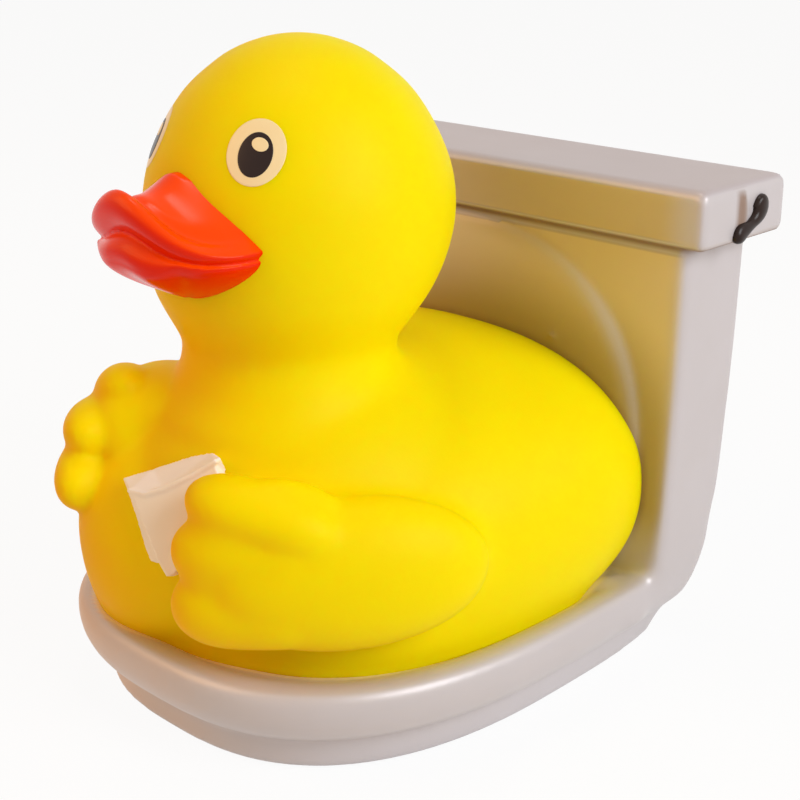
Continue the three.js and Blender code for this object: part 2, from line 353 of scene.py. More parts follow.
def skirt_ring(z):
    """The duck's plan where it sits in the bowl: squarish, and fuller towards the far front."""
    share = (z - SKIRT_FOOT) / (SKIRT_TOP - SKIRT_FOOT)
    power = 2.45 - 0.45 * share

    def place(u, v):
        grow = (abs(u) ** power + abs(v) ** power) ** (-1 / power)
        fuller = 5.5 * (1 - 0.7 * share) * min(1, max(0, (0.35 - u) / 0.7))
        half_width = 32.6 + 3.6 * share ** 0.7
        front = 44.3 + 1.6 * share + fuller
        return at(u * grow * half_width, 10 + v * grow * (front if v < 0 else 17), z)

    return place


body = egg("body", (0, *BODY_MIDDLE), BODY_HALF_WIDTH, front=47, back=40, up=BODY_RISE, down=40)
chest = egg("chest", (0, -8, 30), 29, front=30, back=26, up=22.5, down=24)
skirt = loft("skirt", oval(2, 96), [skirt_ring(z) for z in (SKIRT_FOOT, 12.5, 15, 18, 21, 24, SKIRT_TOP)])
far_belly = egg("far_belly", (-8.5, -17, 25), 22, front=24.5, back=20, up=20, down=27)
shape_vertices(body, squarer_behind)
for part in (chest, far_belly):
    shape_vertices(part, lambda co: Vector((co.x, co.y, max(co.z, at(0, 0, SKIRT_FOOT).z))))
print("body", [round(size / MM, 1) for size in body.dimensions], "mm")

# %% [markdown]
# Each wing lies on the belly like a mitten: a long flat pad for the arm, a palm, and three fingers
# that curl forward. The near one holds the paper, and the far one shows little but its knuckles. The
# arms are skinned over with the trunk, the palm and the fingers after that in a finer skin. The near
# hand and elbow are then rubbed, because the real folds are shallow and the elbow fades out.

# %% Wings
def pad(centre, towards, length, height, thickness, blunt=1.0):
    """A flat ball whose length points from its centre towards a place. Blunt, below 1, squares it."""
    bpy.ops.object.select_all(action="DESELECT")
    bpy.ops.mesh.primitive_uv_sphere_add(segments=48, ring_count=32, radius=MM)
    ball = bpy.context.object
    shape_vertices(ball, lambda co: Vector((
        math.copysign(abs(co.x / MM) ** blunt * MM, co.x), co.y, co.z,
    )))
    along = (Vector(towards) - Vector(centre)).normalized()
    across = Vector((0, 0, 1)).cross(along).normalized()
    upward = along.cross(across)
    turned = Matrix((along, across, upward)).transposed().to_4x4()
    size = Matrix.Diagonal((length, thickness, height, 1))
    ball.matrix_world = Matrix.Translation(at(*centre)) @ turned @ size
    bpy.ops.object.transform_apply(location=True, rotation=True, scale=True)
    return ball


# Each shape below is a centre, the place it points to, and its half length, height and thickness.
NEAR_ARM = ((25.0, -26.0, 28.8), (38, -9, 30), 19.5, 10.8, 7.4)
NEAR_PALM = ((18.6, -33.4, 31.0), (34, -18, 30), 12.8, 11.8, 5.4)
NEAR_FINGERS = [
    ((18.2, -34.8, 37.6), (33, -26, 33.5), 11.0, 4.6), ((17.4, -35.8, 31.8), (33, -26, 30.5), 11.6, 5.9),
    ((16.9, -36.3, 25.0), (33, -26, 26.5), 11.2, 6.1),
]
FAR_ARM = ((-25.5, -22, 27), (-37, -4, 29), 20, 12, 6)
FAR_SHOULDER = ((-16, -23.5, 41.8), (-32, -14, 40), 11, 6.5, 8.5)
FAR_PALM = (-16.5, -29.5, 39.3)
FAR_WRIST = (-30, -20, 36)
FAR_FINGERS = [
    ((-20.3, -27.6, 43.3), 9, 4.6), ((-21.6, -31.7, 39.1), 9, 4.8), ((-20.7, -34.2, 33.6), 9, 5.2),
]
FINGER_THICKNESS = 4.8
NEAR_HAND = Vector((18, -35, 31))
NEAR_ELBOW = Vector((39, -1, 29))
arms = [pad(*shape) for shape in (NEAR_ARM, FAR_ARM, FAR_SHOULDER)]
arms.append(egg("far_palm", FAR_PALM, 6.5, 6.5, 6.5, 8.5, 9))
trunk = fuse("trunk", [body, chest, skirt, far_belly, head] + arms, 0.9, 10)
wings = [pad(*NEAR_PALM)]
for place, towards, length, height in NEAR_FINGERS:
    wings.append(pad(place, towards, length, height, FINGER_THICKNESS, blunt=0.66))
for place, length, height in FAR_FINGERS:
    wings.append(pad(place, FAR_WRIST, length, height, FINGER_THICKNESS))
duck_skin = fuse("duck_skin", [trunk] + wings, 0.55, 9)
rub(duck_skin, "near_hand", lambda spot: 1 - step(13, 19, (spot - NEAR_HAND).length), 10)
rub(duck_skin, "near_elbow", lambda spot: 1 - step(9, 18, (spot - NEAR_ELBOW).length), 90)
finish_piece(duck_skin, "yellow_vinyl", "duck_body")

# %% [markdown]
# ## The bill
# A bath duck's bill is two fat lips. The upper one is a saddle that rises to a rolled rim, and the
# lower one is a scoop with a ridge of its own. Each is a ball whose lines of latitude are pressed
# into that section, because the rim has to run out to nothing at the corners of the mouth. A section
# gives a radius and a height for a share of the way down the ball and a turn from the front.

# %% The pressed balls
BILL_ROOT = -29.6
BILL_TURN = math.radians(2.6)
BILL_POWER = 2.25
BILL_BACK = 8
UPPER_TOP = 79.7
UPPER_HALF_WIDTH = 13.5
UPPER_REACH = 10.7
RIM_AT_CORNER = 71.0
RIM_RISE = 7.7
LOWER_HALF_WIDTH = 13.3
LOWER_REACH = 10.9
MOUTH_AT_CORNER = 69.8
MOUTH_RISE = 3.2
LOWER_BOTTOM = 60.9
RIDGE_DROP = 3.6


def reach(turn, half_width, front):
    """How far the outline of a lip stands from the bill's root in one direction."""
    c = math.cos(turn)
    s = abs(math.sin(turn))
    length = front if c > 0 else BILL_BACK
    return ((s / half_width) ** BILL_POWER + (abs(c) / length) ** BILL_POWER) ** (-1 / BILL_POWER)


def upper_section(down, turn):
    """A saddle with a pressed line along its rim, then the rolled rim, then the roof of the mouth."""
    front = max(math.cos(turn), 0)
    rim = reach(turn, UPPER_HALF_WIDTH, UPPER_REACH)
    rim_height = RIM_AT_CORNER + RIM_RISE * front**3
    mouth = MOUTH_AT_CORNER + MOUTH_RISE * front**4.4
    if down <= 0.5:
        share = down / 0.5
        dip = 1.7 * math.sin(math.pi * max(0, (share - 0.25) / 0.75)) * front**0.8
        crease = 0.75 * math.exp(-(((share - 0.83) / 0.075) ** 2)) * front**0.4
        return rim * share, UPPER_TOP + (rim_height - UPPER_TOP) * share**1.65 - dip - crease
    if down <= 0.8:
        share = (down - 0.5) / 0.3
        bulge = (0.35 + 1.5 * front**2) * math.sin(math.pi * share) ** 0.8
        return rim + bulge - 0.8 * share, rim_height - (rim_height - mouth) * share**1.3
    share = (down - 0.8) / 0.2
    return (rim - 0.8) * (1 - share), mouth + 0.3 * share


def lower_section(down, turn):
    """The floor of the mouth, then the ridge, which drops in front, then the scoop below it."""
    front = max(math.cos(turn), 0)
    rim = reach(turn, LOWER_HALF_WIDTH, LOWER_REACH)
    mouth = MOUTH_AT_CORNER + 0.1 + MOUTH_RISE * front**4.4
    open_front = min(1, max(0, (front - 0.67) / 0.31))
    ridge_height = mouth - 0.3 - RIDGE_DROP * open_front**2 * (3 - 2 * open_front)
    bottom = LOWER_BOTTOM + 1.4 * front
    if down <= 0.25:
        return (rim - 1) * down / 0.25, mouth
    if down <= 0.5:
        share = (down - 0.25) / 0.25
        swell = 1.1 * math.sin(math.pi * share) * open_front
        return rim - 1 + share * (1 + 0.3 * front) + swell, mouth + (ridge_height - mouth) * share
    share = (down - 0.5) / 0.5
    return (rim + 0.3 * front) * (1 - share**1.4), ridge_height - (ridge_height - bottom) * share**0.9


def pressed_lip(name, section):
    """Presses a ball into a section, and turns it a little about the head's middle."""
    bpy.ops.object.select_all(action="DESELECT")
    bpy.ops.mesh.primitive_uv_sphere_add(segments=144, ring_count=80, radius=1)
    lip = bpy.context.object
    lip.name = lip.data.name = name

    def place(co):
        down = math.acos(max(-1, min(1, co.z))) / math.pi
        turn = math.atan2(co.x, -co.y)
        radius, height = section(down, turn)
        pivot = head_middle(CHEEK_HEIGHT)
        x, y = radius * math.sin(turn), BILL_ROOT - radius * math.cos(turn) - pivot
        c, s = math.cos(BILL_TURN), math.sin(BILL_TURN)
        return at(c * x + s * y, c * y - s * x + pivot, height)

    shape_vertices(lip, place)
    outward(lip)
    return lip


upper_lip = pressed_lip("upper_lip", upper_section)
lower_lip = pressed_lip("lower_lip", lower_section)
print("lips", [round(size / MM, 1) for size in upper_lip.dimensions], "mm for the upper one")

# %% [markdown]
# The two lips are one moulding, so they are skinned over as one piece. The voxels are fine here,
# because the line between the lips has to stay sharp.

# %% The bill in one skin
bill = fuse("bill", [upper_lip, lower_lip], 0.2, 4)
finish_piece(bill, "bill_paint")

# %% [markdown]
# ## The eyes
# The eyes are printed on the head: a cream oval, a dark pupil and a cream glint. Each is cut as a
# thin oval patch and pressed on the skin, a hair higher than the one below it.

# %% Eye patches
def tree_of(thing):
    """A piece's faces, sorted so that the nearest one is found fast."""
    return BVHTree.FromPolygons(
        [v.co.copy() for v in thing.data.vertices],
        [tuple(p.vertices) for p in thing.data.polygons],
    )


skin_tree = tree_of(duck_skin)


def patch(name, centre, half_width, half_height, lean, lift):
    """An oval of paint around a place on the head. The lean turns its top towards the bill or away."""
    place, normal, _, _ = skin_tree.find_nearest(at(*centre))
    side = Vector((0, 0, 1)).cross(normal).normalized()
    up = normal.cross(side)
    c, s = math.cos(math.radians(lean)), math.sin(math.radians(lean))
    side, up = side * c + up * s, up * c - side * s
    outline = oval(2, 64)
    rings = 14
    shares = [i / rings for i in range(rings, 0, -1)]

    def on_skin(u, v, share, height):
        guess = place + side * (u * half_width * share * MM) + up * (v * half_height * share * MM)
        hit, direction, _, _ = skin_tree.ray_cast(guess + normal * 6 * MM, -normal)
        return hit + direction * height * MM

    def ring(share, height):
        return lambda u, v: on_skin(u, v, share, height)

    places = [ring(share, -0.25) for share in reversed(shares)]
    places += [ring(1, lift * 0.6)]
    places += [ring(share, lift) for share in [0.985] + shares[1:]]
    thing = loft(name, outline, places)
    hold(thing)
    bpy.ops.object.shade_smooth()
    return thing


EYES = {
    "near": {
        "ring": (9.7, -26.9, 83.1), "pupil": (9.75, -27.0, 82.75), "glint": (9.9, -26.25, 83.95),
        "side": 1,
    },
    "far": {
        "ring": (-11.6, -26.3, 82.6), "pupil": (-11.6, -26.4, 82.3), "glint": (-11.0, -25.9, 83.5),
        "side": -1,
    },
}
eye_rings, pupils, glints = [], [], []
for name, eye in EYES.items():
    lean = -9 * eye["side"]
    eye_rings.append(patch(name + "_eye_ring", eye["ring"], 3.95, 4.5, lean, lift=0.05))
    pupils.append(patch(name + "_pupil", eye["pupil"], 2.3, 3.0, lean, lift=0.10))
    glints.append(patch(name + "_glint", eye["glint"], 1.15, 0.9, -22, lift=0.15))
for piece in eye_rings + glints:
    finish_piece(piece, "eye_paint")
for piece in pupils:
    finish_piece(piece, "dark_paint")
print("eyes", len(eye_rings + pupils + glints), "patches")

# %% [markdown]
# ## The toilet
# The bowl is a squarish oval that is lofted from its foot to its seat. Behind, the oval is stretched
# and cut off where the tank stands. The squeaker's hole is cut from below, with a narrow mouth and a
# wider room above it.

# %% Bowl
BOWL_MIDDLE = 10.0
BOWL_HALF_WIDTH = 37.1
BOWL_REACH = 50.9
BOWL_POWER = 2.65
SQUEAKER_BACK = 4
SQUEAKER_HOLE = [(7.6, -2, 3), (10.2, 2, 10.4)]
STRETCH_AT_SEAT = 1.5
STRETCH_AT_FOOT = 1.1
STRETCH_HEIGHT = 7
TANK_BACK = [
    (0, 32.8), (1.9, 34.0), (3.7, 35.0), (5.5, 36.0), (7.3, 37.5), (9.1, 38.6), (10.9, 39.2), (12.6, 39.6),
    (14.4, 39.9), (16, 40.2), (20, 40.45), (26, 40.9), (36, 41.25), (50, 41.6), (65, 41.8),
]
BOWL_SHORT_OF_TANK = 0.6


def bowl_ring(out, z):
    """One ring of the bowl. Out is how far it stands outside the bowl's plan."""
    def place(u, v):
        behind = STRETCH_AT_SEAT if z > STRETCH_HEIGHT else STRETCH_AT_FOOT
        length = (BOWL_REACH + out) * (behind if v > 0 else 1)
        return at(u * (BOWL_HALF_WIDTH + out), BOWL_MIDDLE + v * length, z)

    return place


def make_bowl():
    rings = [
        (-4.4, 0.0), (-3.5, 0.15), (-3.05, 0.6), (-2.9, 1.4), (-2.9, 4.4), (-2.5, 5.1), (-1.4, 5.7),
        (-0.2, 6.5), (0.55, 7.6), (1.2, 9.2), (1.45, 10.8), (1.45, 12.3), (1.1, 13.4), (0.3, 14.05),
        (-0.6, 14.25), (-1.9, 14.1), (-3.4, 13.4), (-4.9, 12.3), (-8.0, 11.8),
    ]
    bowl = loft("bowl", oval(BOWL_POWER, 160), [bowl_ring(out, z) for out, z in rings])

    def cut_off(co):
        limit = between(TANK_BACK, co.z / MM) - BOWL_SHORT_OF_TANK
        return Vector((co.x, min(co.y, at(0, limit, 0).y), co.z))

    shape_vertices(bowl, cut_off)
    for radius, low, high in SQUEAKER_HOLE:
        bpy.ops.object.select_all(action="DESELECT")
        bpy.ops.mesh.primitive_cylinder_add(
            vertices=96, radius=radius * MM, depth=(high - low) * MM,
            location=at(0, SQUEAKER_BACK, (low + high) / 2),
        )
        cutter = bpy.context.object
        use(bowl, "BOOLEAN", operation="DIFFERENCE", object=cutter, solver="EXACT")
        bpy.data.objects.remove(cutter)
    return bowl


bowl = make_bowl()
print("bowl", [round(size / MM, 1) for size in bowl.dimensions], "mm")

# %% [markdown]
# The tank and its lid are blocks with round corners. The tank widens a little on its way up, and below
# the seat its back corners draw in, down to the foot.

# %% Tank and lid
def block_ring(half_width, front, back, z):
    return lambda u, v: at(u * half_width, (front + back) / 2 + v * (back - front) / 2, z)


def rounded_block(half_width, depth, radius):
    """The plan of a block with round corners, as (u, v) between -1 and 1."""
    points = []
    for i, (su, sv) in enumerate([(1, 1), (-1, 1), (-1, -1), (1, -1)]):
        for k in range(8):
            turn = math.pi / 2 * (i + k / 7)
            points.append((
                (su * (half_width - radius) + radius * math.cos(turn)) / half_width,
                (sv * (depth - radius) + radius * math.sin(turn)) / depth,
            ))
    return points


TANK_SIDE = [
    (0, 32.4), (1.9, 33.4), (3.7, 34.0), (5.5, 34.6), (7.3, 36.4), (9.1, 37.3), (10.9, 37.8), (12.6, 38.2),
    (14.4, 38.6), (16, 38.8), (20, 39.1), (26, 39.4), (36, 39.8), (50, 40.2), (65, 40.4),
]


def make_tank():
    heights = [0.3, 1.1, 1.9, 3.7, 5.5, 7.3, 9.1, 10.9, 12.6, 14.4, 16, 20, 26, 31, 36, 43, 50, 58, 65, 68]
    places = [block_ring(between(TANK_SIDE, z), TANK_FRONT, between(TANK_BACK, z), z) for z in heights]
    return loft("tank", rounded_block(40, 7.5, 1.5), places)


def make_lid():
    rings = [(0.9, 66.45), (0.3, 66.7), (0.0, 67.3), (0.0, 73.6), (0.2, 74.4), (0.6, 74.85), (1.3, 75.05)]
    wide = LID_HALF_WIDTH + 0.35
    places = [block_ring(wide - inset, LID_FRONT + inset, LID_REACH - inset, z) for inset, z in rings]
    return loft("lid", rounded_block(wide, 10, 0.8), places)


tank, lid = make_tank(), make_lid()
print("lid", [round(size / MM, 1) for size in lid.dimensions], "mm")

# %% [markdown]
# The raised seat lid is an oval panel on the tank's front with a sloping edge. Small relief goes with
# it: the lug that the lever turns on, a nick that the mould left in the panel, and a soft swelling in
# each corner where the seat meets the tank.

# %% Seat lid and small relief
SEAT_LID_HALF_WIDTH = 34.2
SEAT_LID_RISE = 32.8
SEAT_LID_CENTRE = 32.6
UNDER_SEAT = 9


def seat_lid_ring(inset, proud):
    return lambda u, v: at(
        u * (SEAT_LID_HALF_WIDTH - inset), TANK_FRONT - proud,
        SEAT_LID_CENTRE + v * (SEAT_LID_RISE - inset),
    )


def make_seat_lid():
    rings = [(0, -2), (0, 0.05), (0.5, 0.55), (1.4, 0.95), (2.4, 1.2), (3.2, 1.25)]
    panel = loft("seat_lid", oval(2.3, 96), [seat_lid_ring(inset, proud) for inset, proud in rings])
    shape_vertices(panel, lambda co: Vector((co.x, co.y, max(co.z, UNDER_SEAT * MM))))
    return panel


seat_lid = make_seat_lid()
lug = egg("lug", (LID_HALF_WIDTH, 33.6, 70.5), 0.9, 0.9, 1.5, 3.4, 3.2, 32, 24)
nick = egg("nick", (17.81, 24.75, 48.94), 0.9, 0.45, 1, 0.35, 0.35, 24, 16)
corners = [egg("corner", (side * 33.5, 22, 9), 5.5, 8, 6, 4.9, 2.5, 32, 24) for side in (-1, 1)]
print("seat lid", [round(size / MM, 1) for size in seat_lid.dimensions], "mm")

# %% [markdown]
# One skin goes over all of it, because the real toilet is one moulding with the duck. The heel, where
# bowl and tank flow into each other, is rubbed down further.

# %% The toilet in one skin
toilet_skin = fuse("toilet_skin", [bowl, tank, lid, seat_lid, lug, nick] + corners, 0.57, 3)


def heel_rub(spot):
    """The back corners by the foot of the tank, where bowl and tank flow into each other."""
    high_enough = step(0.6, 3, spot.z) * (1 - step(18, 27, spot.z))
    return high_enough * step(8, 18, spot.y) * step(24, 31, abs(spot.x))


rub(toilet_skin, "heel", heel_rub, 36)
finish_piece(toilet_skin, "toilet_paint", "duck_body")

# %% [markdown]
# ## The paper
# The paper is a folded sheet, moulded in relief: its fold shows from above, its front hangs down
# into the hand, and a second layer shows behind its left edge. Each layer is a slab, and a thin round
# bead along the crest makes the fold.

# %% Paper
def slab(name, corners, inward, thickness):
    """A flat sheet whose outer face has the given corners."""
    inward = Vector(inward).normalized()

    def ring(depth):
        return lambda u, v: at(*(Vector(corners[int(u)]) + inward * depth))

    outline = [(i, 0) for i in range(len(corners))]
    return loft(name, outline, [ring(0), ring(thickness)])


FRONT_SHEET = [
    (-3.1, -40.4, 37.0), (-0.15, -39.6, 37.0), (2.1, -38.5, 38.1), (5.9, -36.4, 40.7), (8.45, -34.85, 42.7),
    (12.5, -35.5, 37.5), (8.6, -38.5, 32.4), (6.7, -40.9, 27.9), (5.7, -41.6, 27.3), (4.0, -41.5, 28.8),
]
FOLD_TOP = [
    (-6.9, -38.7, 37.2), (-5.1, -37.4, 38.05), (-2.9, -36.4, 39.0), (-2.2, -35.9, 39.4), (2.9, -34.1, 41.9),
    (6.5, -33.4, 43.2), (9.0, -34.1, 43.3), (8.4, -34.8, 42.8), (5.9, -36.4, 40.7), (2.1, -38.5, 38.1),
    (-0.15, -39.6, 37.1), (-3.1, -40.4, 37.0),
]
BACK_SHEET = [
    (-6.7, -38.8, 37.3), (0.5, -38.5, 38.0), (6.5, -39.2, 29.0), (2.6, -40.9, 28.1), (1.7, -41.1, 28.2),
    (0.7, -41.0, 29.3), (-2.1, -40.3, 33.3),
]
SHEET_INWARD = (-0.265, 0.9, -0.345)
FOLD_INWARD = (0.1, 0.35, -0.93)
FOLD_RADIUS = 0.42
FOLD = [(-3.4, -40.3, 36.9), (-0.3, -39.7, 37.0), (2.1, -38.6, 38.1), (5.9, -36.5, 40.6), (8.9, -34.6, 43.0)]


def make_fold():
    places = []
    for i, spot in enumerate(FOLD):
        along = (Vector(FOLD[min(i + 1, 4)]) - Vector(FOLD[max(i - 1, 0)])).normalized()
        across = along.cross(Vector((0, 0, 1))).normalized()
        upward = across.cross(along)

        def place(u, v, centre=Vector(spot), across=across, upward=upward):
            return at(*(centre + across * u * FOLD_RADIUS + upward * v * FOLD_RADIUS))

        places.append(place)
    return loft("fold", oval(2, 16), places)


front_sheet = slab("front_sheet", FRONT_SHEET, SHEET_INWARD, 2.0)
fold_top = slab("fold_top", FOLD_TOP, FOLD_INWARD, 2.2)
back_sheet = slab("back_sheet", BACK_SHEET, SHEET_INWARD, 2.0)
paper = fuse("paper", [front_sheet, fold_top, back_sheet, make_fold()], 0.2, 3)
finish_piece(paper, "paper_paint")

# %% [markdown]
# ## The flush lever
# The lever is a small dark handle on the end of the tank's lid: a round head on the lug, a thin waist
# and a rounded grip below. An outline is drawn from spot to spot along the handle and given the
# width it has there.

# %% Flush lever
LEVER_THICKNESS = 0.9
LEVER_STAND_OFF = 0.5


def make_lever():
    path = [
        ((37.6, 72.9), 0.6), ((37.8, 72.3), 1.4), ((38.0, 71.3), 1.9), ((37.8, 70.4), 1.7),
        ((37.0, 69.6), 1.15), ((35.9, 69.0), 0.85), ((34.7, 68.6), 1.0), ((33.6, 68.3), 1.35),
        ((32.8, 67.8), 1.45), ((32.1, 67.4), 1.1), ((31.6, 67.1), 0.5),
    ]
    places = []
    for i, ((y, z), half) in enumerate(path):
        ahead, behind = path[min(i + 1, len(path) - 1)][0], path[max(i - 1, 0)][0]
        direction = Vector((ahead[0] - behind[0], ahead[1] - behind[1])).normalized()
        across = Vector((-direction.y, direction.x))

        def place(u, v, y=y, z=z, half=half, across=across):
            out = LID_HALF_WIDTH + LEVER_STAND_OFF + v * LEVER_THICKNESS * min(1, half)
            return at(out, y + across.x * u * half, z + across.y * u * half)

        places.append(place)
    handle = loft("flush_lever", oval(2.2, 24), places)
    use(handle, "SUBSURF", levels=2, render_levels=2)
    hold(handle)
    bpy.ops.object.shade_smooth()
    return handle


flush_lever = make_lever()
finish_piece(flush_lever, "dark_paint")
print("flush lever", len(flush_lever.data.polygons), "faces")

# %% [markdown]
# ## Materials
# Every finish is built from noise and the shader's own sockets: a colour that wanders a little, a
# roughness that wanders with it, and a fine grain. Where a finish also changes from place to place,
# the mesh carries that colour and the finish lays it over its own.

# %% Shader helpers
def new_material(name):
    material = bpy.data.materials.new(name)
    material.use_nodes = True
    nodes = material.node_tree.nodes
    return material, nodes, material.node_tree.links, nodes["Principled BSDF"]


def srgb(red, green, blue):
    """A colour as it is read off a screen, from 0 to 255, turned into the light it stands for."""
    def linear(value):
        value /= 255
        return value / 12.92 if value <= 0.04045 else ((value + 0.055) / 1.055) ** 2.4

    return linear(red), linear(green), linear(blue), 1


def mottled(name, colour, other, size, roughness, rough_spread, grain, grain_height, **sockets):
    """A finish that wanders between two close colours, with a fine grain in its surface."""
    material, nodes, links, shader = new_material(name)
    place = nodes.new("ShaderNodeTexCoord")
    cloud = nodes.new("ShaderNodeTexNoise")
    cloud.inputs["Scale"].default_value = 1 / (size * MM)
    cloud.inputs["Detail"].default_value = 3
    links.new(place.outputs["Object"], cloud.inputs["Vector"])
    mix = nodes.new("ShaderNodeMix")
    mix.data_type = "RGBA"
    mix.inputs[6].default_value = colour
    mix.inputs[7].default_value = other
    links.new(cloud.outputs["Fac"], mix.inputs[0])
    links.new(mix.outputs[2], shader.inputs["Base Color"])
    spread = nodes.new("ShaderNodeMapRange")
    spread.inputs["To Min"].default_value = roughness - rough_spread
    spread.inputs["To Max"].default_value = roughness + rough_spread
    links.new(cloud.outputs["Fac"], spread.inputs["Value"])
    links.new(spread.outputs["Result"], shader.inputs["Roughness"])
    dust = nodes.new("ShaderNodeTexNoise")
    dust.inputs["Scale"].default_value = 1 / (grain * MM)
    dust.inputs["Detail"].default_value = 2
    links.new(place.outputs["Object"], dust.inputs["Vector"])
    bump = nodes.new("ShaderNodeBump")
    bump.inputs["Strength"].default_value = 1
    bump.inputs["Distance"].default_value = grain_height * MM
    links.new(dust.outputs["Fac"], bump.inputs["Height"])
    links.new(bump.outputs["Normal"], shader.inputs["Normal"])
    for socket, value in sockets.items():
        shader.inputs[socket.replace("_", " ")].default_value = value
    return material


def tinted(material, attribute):
    """Lays a colour that the mesh carries over the finish, so that the mottling still shows."""
    nodes, links = material.node_tree.nodes, material.node_tree.links
    shader = nodes["Principled BSDF"]
    under = shader.inputs["Base Color"].links[0].from_socket
    carried = nodes.new("ShaderNodeAttribute")
    carried.attribute_name = attribute
    mix = nodes.new("ShaderNodeMix")
    mix.data_type = "RGBA"
    links.new(carried.outputs["Alpha"], mix.inputs[0])
    links.new(under, mix.inputs[6])
    links.new(carried.outputs["Color"], mix.inputs[7])
    links.new(mix.outputs[2], shader.inputs["Base Color"])


def carry_tint(piece, name, rule):
    """Gives each vertex the colour that a rule says for its spot and the way it faces."""
    layer = piece.data.color_attributes.new(name, "FLOAT_COLOR", "POINT")
    for vertex, entry in zip(piece.data.vertices, layer.data):
        entry.color = rule((vertex.co - middle) / MM, vertex.normal)


def paint(piece, material):
    piece.data.materials.clear()
    piece.data.materials.append(material)


print("middle grey is", round(srgb(128, 128, 128)[0], 3))

# %% [markdown]
# The pearl paint takes colours by place, and most of them are painted light. The tank's front and the lid's
# front edge are painted gold, a painted reflection of the yellow duck and its warm light, deeper near the
# duck. The far front of the bowl is painted orange where it faces the warm lamp: painted warm light. Along
# the duck the mask left a cream line on the seat and a brown one on the tank. The crevice under the lid and
# a spot beside the lever are painted brown, and the lid's top a darker grey: painted shade. All of it
# follows from where a spot lies, how it faces and how far it is from the duck. The paper, the bill and the
# vinyl itself have a rule each, which paints their shaded sides warmer than their tops: painted shade.

# %% Painted light on the pearl paint, and the mask lines
CREAM = srgb(240, 228, 190)[:3]
# Brown for the painted shade under the lid and beside the lever, and for the mask line along the duck.
SHADE_AND_MASK_LINE_BROWN = Vector(srgb(120, 78, 28)[:3])
# Gold and deep gold: a painted reflection of the yellow duck and its warm light on the tank's front.
PAINTED_BOUNCE_GOLD = Vector(srgb(228, 208, 154)[:3])
PAINTED_DEEP_BOUNCE_GOLD = Vector(srgb(166, 142, 76)[:3])
# Warm orange: painted warm light on the bowl's far front.
PAINTED_WARM_LIGHT = Vector(srgb(228, 160, 24)[:3])
# A darker grey: painted shade on the lid's top.
PAINTED_LID_TOP_SHADE = srgb(176, 164, 168)[:3]


def mask_lines_and_painted_light(spot, normal):
    """The pearl paint's colour by place: painted shade under the lid, beside the lever and on the lid's top,
    a painted gold reflection of the duck on the fronts, painted warm light on the bowl's far front, and the
    cream and brown mask lines.
    """
    distance = skin_tree.find_nearest(at(*spot))[3] / MM
    on_seat = normal.z > 0.3 and spot.z < 17
    edge = 1 - (step(0.35, 1.0, distance) if on_seat else step(0, 1.4, distance))
    # Under the lid's overhang: painted brown shade.
    under_lid = step(64.9, 66.3, spot.z) * (1 - step(66.6, 67.2, spot.z))
    if under_lid > 0:
        return (*SHADE_AND_MASK_LINE_BROWN, 0.85 * under_lid)
    # Beside the lever: a painted brown shadow.
    beside_lever = step(31.6, 32.8, spot.y) * (1 - step(33.6, 34.6, spot.y)) * step(43.9, 44.3, spot.x)
    if beside_lever > 0 and spot.z > 66:
        return (*SHADE_AND_MASK_LINE_BROWN, 0.75 * beside_lever)
    if on_seat and edge > 0 and spot.y < 27:
        return (*CREAM, 0.8 * edge)
    # The lid's up-facing top is painted darker: painted shade.
    if spot.z > 73 and normal.z > 0.3:
        return (*PAINTED_LID_TOP_SHADE, 0.6 * step(0.3, 0.9, normal.z))
    # The tank's front and the lid's front edge: painted gold, a painted reflection of the yellow duck,
    # deeper near the duck. The brown mask line along the duck is laid over it.
    if spot.y > 21 and spot.z > 14:
        by_seat = (1 - step(15, 26, spot.z)) * step(24, 33, abs(spot.x))
        front = step(0.6, 0.985, -normal.y) * (1 - step(36.5, 42.5, abs(spot.x)))
        front *= 1 - 0.8 * by_seat
        duck_bounce = max(1 - step(1, 15, distance), 0.45 * step(66, 67, spot.z))
        return (*PAINTED_BOUNCE_GOLD.lerp(PAINTED_DEEP_BOUNCE_GOLD, duck_bounce).lerp(SHADE_AND_MASK_LINE_BROWN, 0.5 * edge), 0.85 * front)
    # The bowl's far front is painted orange where it faces the warm lamp: painted warm light.
    facing_warm_lamp = step(0.1, 1.0, -0.85 * normal.x - 0.4 * normal.y) * (1 - step(-32, 0, spot.y))
    return (*PAINTED_WARM_LIGHT, 0.7 * facing_warm_lamp)


def paper_painted_shade(spot, normal):
    """Painted shade: the sheet's front, which doesn't face up, is painted a warmer cream than its top."""
    return (*srgb(250, 238, 220)[:3], 0.8 * (1 - step(0.5, 0.75, normal.z)))


def vinyl_painted_warm_shade(spot, normal):
    """Painted warm shade: the vinyl's sides that face left, to the front and down are painted orange, less
    so higher up.
    """
    away = step(-0.35, 0.7, -0.72 * normal.x - 0.38 * normal.y - 0.5 * normal.z)
    return (*srgb(255, 184, 0)[:3], 0.85 * away * (1 - 0.6 * step(50, 72, spot.z)))


def bill_painted_shade(spot, normal):
    """Painted shade: the bill is painted a deeper red where it doesn't face up."""
    return (*srgb(232, 16, 0)[:3], 0.75 * (1 - step(-0.1, 0.75, normal.z)))


print("cream", [round(value, 2) for value in CREAM])

# %% [markdown]
# Vinyl lets light in a little, which softens its shadows. Paint on vinyl is glossier and hides that.
# The numbers after the two colours are the size of the clouds in millimetres, the roughness and how
# far it wanders, and the size and height of the grain.

